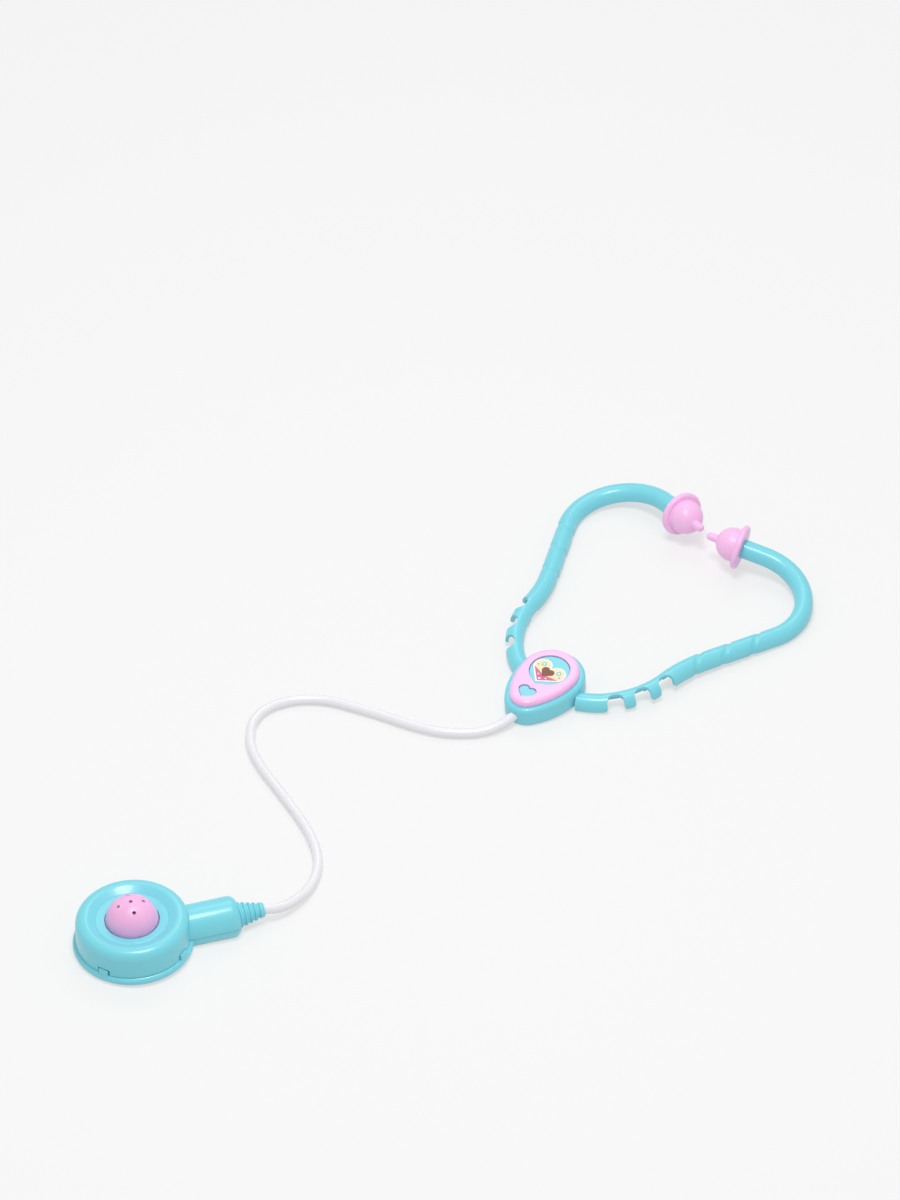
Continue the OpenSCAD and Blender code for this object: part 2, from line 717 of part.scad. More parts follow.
module yoke_back() {
    color(aqua) headset_place() {
        difference() {
            intersection() {
                yoke_form(0);
                yoke_layer(0, yoke_back_t);
            }
            arm_slots(yoke_wall);
            for (p = screw_spots) translate([p.x, p.y, -over]) {
                cylinder(r = screw_r + fit, h = yoke_back_t + 2 * over);
                cylinder(r = screw_head_r + fit, h = screw_recess + screw_head_t + over);
            }
        }
        for (s = [-1, 1]) translate([s * lug_spot.x, lug_spot.y, yoke_back_t - slice])
            cylinder(r = lug_post_r, h = lug_post_h + slice);
    }
}

module yoke_screws() {
    color(steel) headset_place()
        for (p = screw_spots) translate([p.x, p.y, screw_recess]) {
            cylinder(r = screw_head_r, h = screw_head_t);
            cylinder(r = screw_r, h = screw_len);
        }
}

module yoke_fascia() {
    color(pink) headset_place() {
        difference() {
            skin([egg_ring(fascia_inset, yoke_h), egg_ring(fascia_inset, yoke_h + fascia_t - fascia_edge),
                  egg_ring(fascia_inset + fascia_edge, yoke_h + fascia_t)]);
            translate([0, 0, yoke_h - over]) linear_extrude(fascia_t + 2 * over) window(0);
            translate([0, 0, yoke_h - over]) linear_extrude(fascia_t + 2 * over) small_heart(0);
        }
        for (s = [-1, 1]) translate([s * peg_x, yoke_mid, yoke_h - peg_len])
            cylinder(r = peg_r, h = peg_len + slice);
    }
}

module heart_sticker() {
    color(white) headset_place() translate([0, 0, yoke_h + floor_rise])
        translate([0, sticker_lobe_mid, 0]) rotate([0, 0, sticker_turn])
            linear_extrude(sticker_t)
                heart(sticker_tip - sticker_lobe_mid, sticker_lobe_x, 0, sticker_lobe_r);
}

// Arms
module arm_root(k) {
    side(k) {
        channel(root_stops);
        difference() {
            translate([root_start.x, root_start.y, yoke_back_t - arm_h + play / 2])
                rotate([0, 0, root_turn])
                    translate([-arm_lug_len, -arm_lug_w / 2, 0])
                        cube([arm_lug_len + arm_wall, arm_lug_w, arm_lug_t]);
            translate([lug_spot.x, lug_spot.y, -arm_drop]) cylinder(r = lug_post_r + fit, h = 2 * arm_r);
        }
    }
}

module flex_neck(k) {
    r = neck_bend_r(k);
    notch = (neck_len - neck_ribs * rib_w) / (neck_ribs + 1);
    side(k) difference() {
        channel(neck_stops(k));
        for (i = [0 : neck_ribs]) {
            first = i == 0 ? over : 0;
            last = i == neck_ribs ? over : 0;
            turn = neck_turn + (i * (notch + rib_w) + notch / 2) * neck_sweep(k) / neck_len;
            translate([neck_mid(k).x, neck_mid(k).y, -arm_drop - over]) rotate([0, 0, turn - 90]) {
                translate([r - notch_in, -notch / 2 - first, 0])
                    cube([notch_in + arm_r + over, notch + first + last, arm_drop + arm_r + 2 * over]);
                translate([r - arm_r - over, -notch / 2 - first, 0])
                    cube([2 * arm_r + 2 * over, notch + first + last, arm_drop - spine_drop + over]);
            }
        }
    }
}

module arm(k) {
    side(k) at_arm(k) {
        channel(arm_stops(k));
        at_tip(k) {
            translate([0, 0, -tip_len]) linear_extrude(tip_len - slice)
                arm_outline(arm_r - arm_wall / 2, arm_drop - slice);
            translate([0, 0, -arm_wall]) linear_extrude(spigot_len + arm_wall) circle(spigot_r);
        }
    }
}

// Ear tip profile, radius to the right and length up
ear_nub_end = ear_flange_t + ear_dome_len + ear_dome_r + nub_len;
module ear_profile() {
    difference() {
        union() {
            square([ear_flange_r - ear_round, ear_flange_t]);
            translate([0, ear_round]) square([ear_flange_r, ear_flange_t - 2 * ear_round]);
            for (t = [ear_round, ear_flange_t - ear_round])
                translate([ear_flange_r - ear_round, t]) circle(ear_round);
            square([ear_dome_r, ear_flange_t + ear_dome_len]);
            translate([0, ear_flange_t + ear_dome_len]) circle(ear_dome_r);
            square([nub_r, ear_nub_end - nub_r]);
            translate([0, ear_nub_end - nub_r]) circle(nub_r);
        }
        square([spigot_r + fit, spigot_len + play]);
        translate([-2 * ear_dome_r, -2 * ear_dome_r]) square([2 * ear_dome_r, 6 * ear_dome_r]);
        translate([-over, -2 * ear_dome_r]) square([2 * ear_dome_r, 2 * ear_dome_r]);
    }
}
module ear_tip(k) {
    color(pink) headset_place() side(k) at_arm(k)
        at_tip(k) rotate_extrude() ear_profile();
}

module left_arm_root() {
    color(aqua) headset_place() arm_root(-1);
}
module left_flex_neck() {
    color(aqua) headset_place() flex_neck(-1);
}
module left_arm() {
    color(aqua) headset_place() arm(-1);
}
module left_ear_tip() {
    ear_tip(-1);
}
module right_arm_root() {
    color(aqua) headset_place() arm_root(1);
}
module right_flex_neck() {
    color(aqua) headset_place() flex_neck(1);
}
module right_arm() {
    color(aqua) headset_place() arm(1);
}
module right_ear_tip() {
    ear_tip(1);
}

chest_base();
chest_cover();
dome_button();
squeaker_bellows();
squeaker_reed();
strain_relief();
hose();
yoke_front();
yoke_back();
yoke_screws();
yoke_fascia();
heart_sticker();
left_arm_root();
left_flex_neck();
left_arm();
left_ear_tip();
right_arm_root();
right_flex_neck();
right_arm();
right_ear_tip();
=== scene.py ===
"""Toy stethoscope on a pale floor: chest piece, hose and two-armed headset, dressed over the CAD frame."""
import math
import bmesh
import bpy
from mathutils import Matrix, Vector


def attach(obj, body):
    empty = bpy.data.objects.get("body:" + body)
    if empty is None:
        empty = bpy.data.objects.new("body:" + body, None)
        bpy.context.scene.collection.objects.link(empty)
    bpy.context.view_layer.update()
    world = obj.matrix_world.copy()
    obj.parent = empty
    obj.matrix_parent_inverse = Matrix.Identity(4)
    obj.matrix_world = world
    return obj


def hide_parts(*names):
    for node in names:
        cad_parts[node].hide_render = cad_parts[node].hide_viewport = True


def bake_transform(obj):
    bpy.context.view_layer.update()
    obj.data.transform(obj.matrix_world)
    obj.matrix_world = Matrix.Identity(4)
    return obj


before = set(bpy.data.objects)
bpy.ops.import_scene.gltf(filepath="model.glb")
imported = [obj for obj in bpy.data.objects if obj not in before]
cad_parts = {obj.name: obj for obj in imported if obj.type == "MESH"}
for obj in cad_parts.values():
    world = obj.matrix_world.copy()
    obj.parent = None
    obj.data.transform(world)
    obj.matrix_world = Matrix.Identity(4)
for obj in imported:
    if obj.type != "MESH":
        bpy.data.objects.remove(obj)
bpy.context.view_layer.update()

# Shapes are written in millimetres and scaled once
MM = 0.001
ROOT = "stethoscope"

# Chest piece, sizes as in the CAD model
FLANGE_R = 35.2
FLANGE_ROUND = 2.4
PARTING_H = 5
CHEST_WALL = 2
COVER_R = 33.4
COVER_DRAFT = 0.6
COVER_H = 22.8
COVER_FOOT_ROUND = 0.4
RIM_ROUND = 5.5
RIM_LAND = 1.2
BOWL_ROUND = 4.5
DISH_R = 21.3
DISH_H = 20.1
DISH_FALL = 0.25
DISH_ROUND = 1.2
DISH_STEP = 0.3
DISH_STEP_ROUND = 0.1
DOME_R = 15.4
DOME_WALL = 1.8
DOME_SINK = 1.1
DOME_MID = DISH_H - DOME_SINK
DOME_SKIRT = 4
CATCH_W = 2
CATCH_T = 1.6
HOLE_R = 15.9
HOLE_ROUND = 0.5
HOLE_EDGE = 0.2
BELLOWS_R = 10.8
BELLOWS_FOLD_R = 8.2
BELLOWS_WALL = 0.8
BELLOWS_PLEATS = 5
SOUND_HOLE_R = 1.1
SOUND_HOLE_LEAN = 29.5
SOUND_HOLES_ROUND = 4
STEM_R = 12.3
STEM_START = 28.2
STEM_END = 62.6
STEM_ROUND = 5
STEM_DROP = 8.2
STEM_AZIMUTH = 54.7
LUGS = 4
LUG_AZIMUTH = 45
LUG_W = 6
LUG_H = 3.4
LUG_PROUD = 1
LUG_ROUND = 0.7
LUG_SIDE_GAP = 0.9
LUG_TOP_GAP = 0.4
BOOT_LEN = 15.4
BOOT_R = 7.8
BOOT_TIP_R = 4.1
BOOT_RIBS = 5
BOOT_GROOVE = 0.9
BOOT_RIB_ROUND = 0.6
BOOT_END_ROUND = 0.2
BOOT_PLUG_R = 5.6
BOOT_PLUG_LEN = 4
SEAM = 0.12
BASE_EDGE = 0.4
COVER_EDGE = 0.3

# Headset, sizes as in the CAD model
HEADSET_X = 51.5
HEADSET_Y = 278.8
YOKE_R = 20.8
YOKE_MID = 40.3
YOKE_SIDE_R = 49.3
YOKE_NOSE_R = 13.3
YOKE_H = 13
YOKE_BACK_T = 2.4
YOKE_FOOT_INSET = 2
SHOULDER_ROUND = 2.6
FASCIA_INSET = 3.3
FASCIA_T = 4
FASCIA_ROUND = 2.1
FASCIA_CHAMFER = 0.3
FASCIA_EDGE = 0.35
FLOOR_RISE = 3
PLAY = 0.3
ARM_R = 5.5
ARM_WALL = 1.8
ARM_DROP = 2.8
ARM_H = 2.8
ARM_LEAN = 1.5
ARM_DIP = 5
HEADSET_TILT = 3.24
ROOT_START = (19.9, 40.2)
ROOT_TURN = 26
ROOT_LEN = 4
ROOT_BEND_R = 43
ROOT_BEND = 18.5
NECK_LEN = 41.2
NECK_BEND = 40.2
NECK_RIBS = 2
RIB_W = 6.3
NOTCH_IN = 0.3
NOTCH_ROUND = 4.2
SPINE_DROP = 1.6
RIB_ROUND = 1.8
GROOVE_START = {"right": 82, "left": 89.9}
GROOVE_SLANT = {"right": 0.9, "left": -0.3}
GROOVE_PITCH = 19.8
GROOVE_COUNT = 3
GROOVE_W = 2.2
GROOVE_DEPTH = 0.6
WAIST_BEND_R = 88
WAIST_BEND = 18.9
SHAFT_LEN = 46.5
CROOK_BEND_R = 33.1
CROOK_BEND = 131.4
TIP_LEN = 14.7
TIP_RISE = 13
RISE_LEN = 92
EAR_FLANGE_R = 13.6
EAR_FLANGE_T = 4
EAR_DOME_R = 10.2
EAR_DOME_LEN = 2.6
EAR_BACK_ROUND = 1.6
EAR_RIM_ROUND = 1.9
EAR_NECK_ROUND = 0.4
EAR_NECK_SINK = 0.3
NUB_R = 2.5
NUB_LEN = 6.4
NUB_FOOT_W = 0.7

# Hose
HOSE_R = 3
HOSE_FIT = 0.15
HOSE_LIFT = 0.1
HOSE_DEPTH = 8
HOSE_ENTRY_H = 6

# How far joined solids are sunk into each other, and how far cutters reach past a surface
SINK = 1
OVER = 2
ARM_OVER = 9

# Camera, light and floor, in metres
CAMERA_PLACE = (3.28573, -3.72486, 4.83201)
CAMERA_AIM = (-0.04567, 0.34384, -0.00164)
LAMP_AIM = (0.03, 0.22, 0)
SKY_STRENGTH = 0.54
FLOOR_SIZE = 8
FLOOR_GREY = 0.82
FLOOR_GLOW = 0.97
FLOOR_GLOW_SHARE = 0.6


def cos(degrees):
    return math.cos(math.radians(degrees))


def sin(degrees):
    return math.sin(math.radians(degrees))


def along(degrees):
    return Vector((cos(degrees), sin(degrees)))


def left(degrees):
    return Vector((-sin(degrees), cos(degrees)))


# The chest piece lies on its flange edge and the end of the stem's flat underside
stem_low = PARTING_H - STEM_DROP
stem_foot = STEM_END - STEM_ROUND + math.sqrt(STEM_ROUND ** 2 - (STEM_DROP - STEM_R + STEM_ROUND) ** 2)
lay_a = FLANGE_R - FLANGE_ROUND + stem_foot
lay_b = FLANGE_ROUND - stem_low
CHEST_TILT = math.degrees(math.atan(lay_b / lay_a) - math.asin(FLANGE_ROUND / math.hypot(lay_a, lay_b)))
FLOOR_Z = -(FLANGE_R - FLANGE_ROUND) * sin(CHEST_TILT) + FLANGE_ROUND * (cos(CHEST_TILT) - 1)
CHEST = (Matrix.Rotation(math.radians(STEM_AZIMUTH), 4, "Z")
         @ Matrix.Rotation(math.radians(-CHEST_TILT), 4, "Y"))
STEM = CHEST @ Matrix.Translation((0, 0, PARTING_H)) @ Matrix.Rotation(math.radians(90), 4, "Y")

# Places in the yoke's outline
nose_reach = YOKE_SIDE_R - YOKE_NOSE_R
SIDE_X = YOKE_SIDE_R - YOKE_R
NOSE_MID = YOKE_MID - math.sqrt(nose_reach ** 2 - SIDE_X ** 2)
NOSE_TURN = math.degrees(math.asin(SIDE_X / nose_reach))
FOOT_Y = NOSE_MID - YOKE_NOSE_R + YOKE_FOOT_INSET


def arm_path(lean, step=0.8):
    """Stops along a right arm seen from above, each a point, a direction and the length so far.

    The lengths at which the neck starts and ends come with them.
    """
    stops = []
    point = Vector(ROOT_START)
    turn = ROOT_TURN
    length = 0
    neck_sweep = NECK_BEND + lean
    stretches = [(ROOT_LEN, 0), (math.radians(ROOT_BEND) * ROOT_BEND_R, ROOT_BEND), (NECK_LEN, neck_sweep),
                 (math.radians(WAIST_BEND) * WAIST_BEND_R, -WAIST_BEND), (SHAFT_LEN, 0),
                 (math.radians(CROOK_BEND) * CROOK_BEND_R, CROOK_BEND), (TIP_LEN, 0)]
    ends = []
    for run, bend in stretches:
        count = max(2, round(run / step))
        for i in range(count):
            share = i / count
            stops.append((point + chord(run * share, turn, bend * share), turn + bend * share,
                          length + run * share))
        point = point + chord(run, turn, bend)
        turn += bend
        length += run
        ends.append(length)
    stops.append((point, turn, length))
    return stops, ends[1], ends[2]


def chord(run, turn, bend):
    """Way from the start to the end of a stretch that bends evenly."""
    if abs(bend) < 1e-6:
        return run * along(turn)
    radius = run / math.radians(bend)
    return radius * (left(turn) - left(turn + bend))


HEADSET = (Matrix.Translation((HEADSET_X, HEADSET_Y + FOOT_Y, FLOOR_Z))
           @ Matrix.Rotation(math.radians(HEADSET_TILT), 4, "X") @ Matrix.Translation((0, -FOOT_Y, 0)))


# Mesh helpers
def new_object(name, mesh):
    obj = bpy.data.objects.new(name, mesh)
    bpy.context.scene.collection.objects.link(obj)
    return obj


def mesh_from(name, build, matrix):
    """A mesh object made by build(bm) in millimetres and placed by matrix, in metres."""
    bm = bmesh.new()
    build(bm)
    bmesh.ops.remove_doubles(bm, verts=bm.verts, dist=1e-4)
    bmesh.ops.recalc_face_normals(bm, faces=bm.faces)
    mesh = bpy.data.meshes.new(name)
    bm.to_mesh(mesh)
    bm.free()
    mesh.transform(Matrix.Scale(MM, 4) @ matrix)
    if matrix.determinant() < 0:
        mesh.flip_normals()
    return new_object(name, mesh)


def rounded(corners, steps=8):
    """Points of a line through corners (x, y, rounding radius), ends kept sharp."""
    points = []
    for i, (x, y, radius) in enumerate(corners):
        here = Vector((x, y))
        if radius == 0 or i in (0, len(corners) - 1):
            points.append(here)
            continue
        back = (Vector(corners[i - 1][:2]) - here).normalized()
        ahead = (Vector(corners[i + 1][:2]) - here).normalized()
        half = back.angle(ahead) / 2
        if half > math.radians(89):
            points.append(here)
            continue
        reach = radius / math.tan(half)
        middle = here + (back + ahead).normalized() * (radius / math.sin(half))
        first = here + back * reach - middle
        turn = first.angle_signed(here + ahead * reach - middle)
        for k in range(steps + 1):
            angle = -turn * k / steps
            points.append(middle + Matrix.Rotation(angle, 2) @ first)
    return points


def lathe(profile, segments=128, start=0, end=360, closed=False):
    """Builder that turns a profile (radius, height) round the Z axis."""
    def build(bm):
        full = abs(end - start - 360) < 1e-6
        count = segments if full else segments + 1
        rings = []
        for i in range(count):
            a = start + (end - start) * i / segments
            rings.append([bm.verts.new((p[0] * cos(a), p[0] * sin(a), p[1])) for p in profile])
        rows = len(profile) if closed else len(profile) - 1
        for i in range(segments):
            one, two = rings[i], rings[(i + 1) % count]
            for j in range(rows):
                k = (j + 1) % len(profile)
                bm.faces.new((one[j], two[j], two[k], one[k]))
        if not full:
            bm.faces.new(rings[0])
            bm.faces.new(rings[-1])
    return build


def loft(rings):
    """Builder that skins closed rings of points and caps both ends."""
    def build(bm):
        rows = [[bm.verts.new(p) for p in ring] for ring in rings]
        for one, two in zip(rows, rows[1:]):
            for j in range(len(one)):
                k = (j + 1) % len(one)
                bm.faces.new((one[j], one[k], two[k], two[j]))
        bm.faces.new(rows[0])
        bm.faces.new(rows[-1])
    return build


def prism(outline, low, high):
    return loft([[(p[0], p[1], low) for p in outline], [(p[0], p[1], high) for p in outline]])


def cut(obj, cutters, operation="DIFFERENCE"):
    """Applies one boolean per cutter and removes the cutters."""
    for cutter in cutters:
        modifier = obj.modifiers.new("cut", "BOOLEAN")
        modifier.operation = operation
        modifier.object = cutter
        modifier.solver = "EXACT"
        bpy.context.view_layer.update()
        graph = bpy.context.evaluated_depsgraph_get()
        mesh = bpy.data.meshes.new_from_object(obj.evaluated_get(graph))
        obj.modifiers.clear()
        obj.data = mesh
        bpy.data.objects.remove(cutter)


def soften(obj, width, segments=3, angle=35):
    """Rounds the sharp edges by width, in millimetres."""
    modifier = obj.modifiers.new("soften", "BEVEL")
    modifier.width = width * MM
    modifier.segments = segments
    modifier.limit_method = "ANGLE"
    modifier.angle_limit = math.radians(angle)
    modifier.harden_normals = True


def dress(obj, material, body, slot, *nodes, sharp=40):
    """Gives a piece its material and smooth shading, hangs it under its body and hides the CAD nodes that
    it stands for; the slot is not used.
    """
    obj.data.materials.clear()
    obj.data.materials.append(material)
    obj.data.shade_smooth()
    obj.data.set_sharp_from_angle(angle=math.radians(sharp))
    if body:
        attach(obj, body)
    if nodes:
        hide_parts(*nodes)


# Materials
def linear(red, green, blue):
    """Linear colour of an sRGB colour given in 0 to 255."""
    def one(value):
        share = value / 255
        return share / 12.92 if share <= 0.04045 else ((share + 0.055) / 1.055) ** 2.4
    return (one(red), one(green), one(blue), 1)


def plastic(name, colour, roughness, grain=0.03, coat=0.0, soft=0.0):
    """Moulded plastic: even colour, slightly uneven gloss and a fine grain."""
    material = bpy.data.materials.new(name)
    material.use_nodes = True
    nodes = material.node_tree.nodes
    links = material.node_tree.links
    shader = nodes["Principled BSDF"]
    shader.inputs["Base Color"].default_value = colour
    shader.inputs["Coat Weight"].default_value = coat
    shader.inputs["Coat Roughness"].default_value = 0.1
    shader.inputs["Subsurface Weight"].default_value = soft
    shader.inputs["Subsurface Radius"].default_value = (0.004, 0.004, 0.004)
    place = nodes.new("ShaderNodeTexCoord")
    cloud = nodes.new("ShaderNodeTexNoise")
    cloud.inputs["Scale"].default_value = 90
    cloud.inputs["Detail"].default_value = 3
    spread = nodes.new("ShaderNodeMapRange")
    spread.inputs["To Min"].default_value = roughness - 0.05
    spread.inputs["To Max"].default_value = roughness + 0.05
    fine = nodes.new("ShaderNodeTexNoise")
    fine.inputs["Scale"].default_value = 1400
    fine.inputs["Detail"].default_value = 2
    bump = nodes.new("ShaderNodeBump")
    bump.inputs["Strength"].default_value = grain
    bump.inputs["Distance"].default_value = 0.0002
    links.new(place.outputs["Object"], cloud.inputs["Vector"])
    links.new(cloud.outputs["Fac"], spread.inputs["Value"])
    links.new(spread.outputs["Result"], shader.inputs["Roughness"])
    links.new(place.outputs["Object"], fine.inputs["Vector"])
    links.new(fine.outputs["Fac"], bump.inputs["Height"])
    links.new(bump.outputs["Normal"], shader.inputs["Normal"])
    return material


AQUA = plastic("aqua_plastic", linear(124, 216, 230), 0.32, coat=0.2)
AQUA_SOFT = plastic("aqua_soft", linear(124, 216, 230), 0.4)
PINK = plastic("pink_plastic", linear(255, 192, 237), 0.24, coat=0.35)
PINK_DEEP = plastic("pink_deep", linear(255, 189, 231), 0.36, coat=0.1, soft=0.8)
PINK_SOFT = plastic("pink_soft", linear(255, 196, 239), 0.32, soft=0.3)
WHITE_HOSE = plastic("hose_white", linear(236, 235, 240), 0.22, coat=0.3)
INNER_WHITE = plastic("inner_white", linear(232, 230, 232), 0.5)
STEEL = plastic("screw_steel", linear(180, 180, 184), 0.3)
STEEL.node_tree.nodes["Principled BSDF"].inputs["Metallic"].default_value = 1
LABEL_WHITE = plastic("label_white", linear(246, 244, 245), 0.35)
LABEL_CREAM = plastic("label_cream", linear(246, 228, 178), 0.35)
LABEL_ROSE = plastic("label_rose", linear(222, 98, 150), 0.35)
LABEL_BROWN = plastic("label_brown", linear(128, 78, 56), 0.35)
LABEL_AQUA = plastic("label_aqua", linear(120, 205, 220), 0.35)


# Camera: long lens, from the front right of the headset
def make_camera():
    data = bpy.data.cameras.new("camera")
    data.sensor_fit = "VERTICAL"
    data.sensor_height = 36
    data.lens = 360
    data.clip_start = 0.1
    data.clip_end = 100
    camera = bpy.data.objects.new("camera", data)
    bpy.context.scene.collection.objects.link(camera)
    camera.location = CAMERA_PLACE
    aim = Vector(CAMERA_AIM) - Vector(CAMERA_PLACE)
    camera.rotation_euler = aim.to_track_quat("-Z", "Y").to_euler()
    bpy.context.scene.camera = camera


# Hose: the CAD model's route
def make_hose():
    low = FLOOR_Z + HOSE_R + HOSE_LIFT
    boot_tip = STEM_END + BOOT_LEN
    nose = NOSE_MID - YOKE_NOSE_R
    start = [CHEST @ Vector((x, 0, PARTING_H)) for x in (boot_tip - HOSE_DEPTH, boot_tip)]
    rise = [(49.9, 71.2, 6.4), (51.9, 85, 4.4), (50.1, 98.5, 2.8), (44.7, 111.2, 2.1)]
    floor = [(36.5, 121.8), (25, 130.8), (11.5, 138.3), (-4.5, 145.3), (-21.5, 152.3), (-37, 158.8),
             (-50.5, 166.8), (-60, 176.3), (-66, 187.3), (-66.5, 198.8), (-62, 210.3), (-53.5, 220.3),
             (-42, 227.8), (-27.5, 232.8), (-10, 237.8), (8.5, 242.3), (23.5, 247.8), (35, 255.3),
             (43.5, 263.8)]
    end = [(49, 273.4, 3.2)]
    end += [HEADSET @ Vector((0, y, HOSE_ENTRY_H)) for y in (nose, nose + HOSE_DEPTH)]
    route = [Vector(p) * MM for p in [*start, *rise, *[(x, y, low) for x, y in floor], *end]]
    curve = bpy.data.curves.new("hose_tube", "CURVE")
    curve.dimensions = "3D"
    curve.bevel_depth = HOSE_R * MM
    curve.bevel_resolution = 8
    curve.resolution_u = 10
    curve.use_fill_caps = True
    spline = curve.splines.new("BEZIER")
    spline.bezier_points.add(len(route) - 1)
    for knot, point in zip(spline.bezier_points, route):
        knot.co = point
        knot.handle_left_type = "AUTO"
        knot.handle_right_type = "AUTO"
    hose = new_object("hose_tube", curve)
    curve.materials.append(WHITE_HOSE)
    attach(hose, ROOT)
    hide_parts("hose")


# Chest piece
def stem_half(name, start, end, first):
    """Half of the stem, turned from start to end degrees, from length first on."""
    profile = rounded([(0, first, 0), (STEM_R, first, 0), (STEM_R, STEM_END, STEM_ROUND), (0, STEM_END, 0)])
    return mesh_from(name, lathe(profile, 64, start, end), STEM)


def lug_places():
    """Places of the snap lugs and their windows."""
    turns = [LUG_AZIMUTH + 360 / LUGS * i for i in range(LUGS)]
    return [CHEST @ Matrix.Rotation(math.radians(turn), 4, "Z") for turn in turns]


def make_chest():
    lip = rounded([(0, 0, 0), (FLANGE_R, 0, FLANGE_ROUND), (FLANGE_R, PARTING_H, FLANGE_ROUND),
                   (COVER_R - SINK, PARTING_H, 0), (0, PARTING_H, 0)])
    base = mesh_from("chest_base_shell", lathe(lip), CHEST)
    half = math.degrees(SEAM / STEM_R)
    lower = stem_half("stem_lower", -90 + half, 90 - half, STEM_START)
    slab = [(0, -FLANGE_R), (2 * STEM_END, -FLANGE_R), (2 * STEM_END, FLANGE_R), (0, FLANGE_R)]
    cut(lower, [mesh_from("below", prism(slab, stem_low - FLANGE_R, stem_low), CHEST)])
    cut(base, [lower], "UNION")
    lugs = []
    inside = COVER_R - SINK
    outside = COVER_R + LUG_PROUD
    outline = rounded([(inside, 0, 0), (inside, -LUG_W / 2, 0), (outside, -LUG_W / 2, LUG_ROUND),
                       (outside, LUG_W / 2, LUG_ROUND), (inside, LUG_W / 2, 0)], 4)
    for place in lug_places():
        lugs.append(mesh_from("lug", prism(outline, PARTING_H - SINK, PARTING_H + LUG_H), place))
    cut(base, lugs, "UNION")
    soften(base, BASE_EDGE, 3)
    dress(base, AQUA, ROOT, "aqua", "chest_base")

    rim = COVER_R - COVER_DRAFT
    low = PARTING_H + SEAM
    ceiling = DISH_H - CHEST_WALL
    profile = rounded([(COVER_R - CHEST_WALL, low, 0), (COVER_R, low, COVER_FOOT_ROUND),
                       (rim, COVER_H, RIM_ROUND), (rim - RIM_ROUND - RIM_LAND, COVER_H, BOWL_ROUND),
                       (DISH_R, DISH_H + DISH_FALL, DISH_ROUND),
                       (DISH_R - DISH_STEP, DISH_H, DISH_STEP_ROUND), (HOLE_R, DISH_H, HOLE_ROUND),
                       (HOLE_R, ceiling, HOLE_EDGE), (rim - CHEST_WALL, ceiling, CHEST_WALL),
                       (COVER_R - CHEST_WALL, low, 0)])
    cover = mesh_from("chest_cover_shell", lathe(profile[:-1], closed=True), CHEST)
    windows = []
    wide = LUG_W / 2 + LUG_SIDE_GAP
    inside = COVER_R - CHEST_WALL - SINK
    outside = COVER_R + OVER
    outline = [(inside, -wide), (outside, -wide), (outside, wide), (inside, wide)]
    top = PARTING_H + LUG_H + LUG_TOP_GAP
    for place in lug_places():
        windows.append(mesh_from("window", prism(outline, PARTING_H - SINK, top), place))
    cut(cover, windows)
    upper = stem_half("stem_upper", 90 + half, 270 - half, STEM_START - SINK)
    cut(cover, [upper], "UNION")
    soften(cover, COVER_EDGE, 2)
    dress(cover, AQUA, ROOT, "aqua", "chest_cover")


def make_dome():
    inner = DOME_R - DOME_WALL
    outer_arc = [(DOME_R * cos(a), DOME_MID + DOME_R * sin(a)) for a in range(0, 91, 3)]
    inner_arc = [(inner * cos(a), DOME_MID + inner * sin(a)) for a in range(90, -1, -5)]
    outer_arc[-1] = (0, DOME_MID + DOME_R)
    inner_arc[0] = (0, DOME_MID + inner)
    skirt = [(inner, DOME_MID - DOME_SKIRT), (DOME_R, DOME_MID - DOME_SKIRT)]
    high = DISH_H - CHEST_WALL - PLAY
    catch_r = HOLE_R + CATCH_W
    catch = [(DOME_R, high - CATCH_T), (catch_r, high - CATCH_T), (catch_r, high), (DOME_R, high)]
    dome = mesh_from("dome_shell", lathe([*outer_arc, *inner_arc, *skirt, *catch], closed=True), CHEST)
    holes = []
    leans = [(0, 0), *[(SOUND_HOLE_LEAN, 360 / SOUND_HOLES_ROUND * i) for i in range(SOUND_HOLES_ROUND)]]
    for lean, turn in leans:
        matrix = (CHEST @ Matrix.Translation((0, 0, DOME_MID)) @ Matrix.Rotation(math.radians(turn), 4, "Z")
                  @ Matrix.Rotation(math.radians(lean), 4, "Y"))
        circle = [(SOUND_HOLE_R * cos(a), SOUND_HOLE_R * sin(a)) for a in range(0, 360, 15)]
        holes.append(mesh_from("hole", prism(circle, inner - OVER, DOME_R + OVER), matrix))
    cut(dome, holes)
    dress(dome, PINK_DEEP, "button", "pink", "dome_button", sharp=30)


def make_bellows():
    """Pleated bellows under the dome."""
    top = DOME_MID + math.sqrt((DOME_R - DOME_WALL) ** 2 - BELLOWS_FOLD_R ** 2) - PLAY
    half = (top - CHEST_WALL) / (2 * BELLOWS_PLEATS)
    outer = [(BELLOWS_R if i % 2 else BELLOWS_FOLD_R, CHEST_WALL + i * half)
             for i in range(2 * BELLOWS_PLEATS + 1)]
    inner = [(r - BELLOWS_WALL, z) for r, z in reversed(outer[:-1])]
    roof = [(0, top), (0, top - BELLOWS_WALL)]
    bellows = mesh_from("bellows_folds", lathe([*outer, *roof, *inner], 96, closed=True), CHEST)
    dress(bellows, INNER_WHITE, None, "inner_white", "squeaker_bellows")
    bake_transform(bellows)


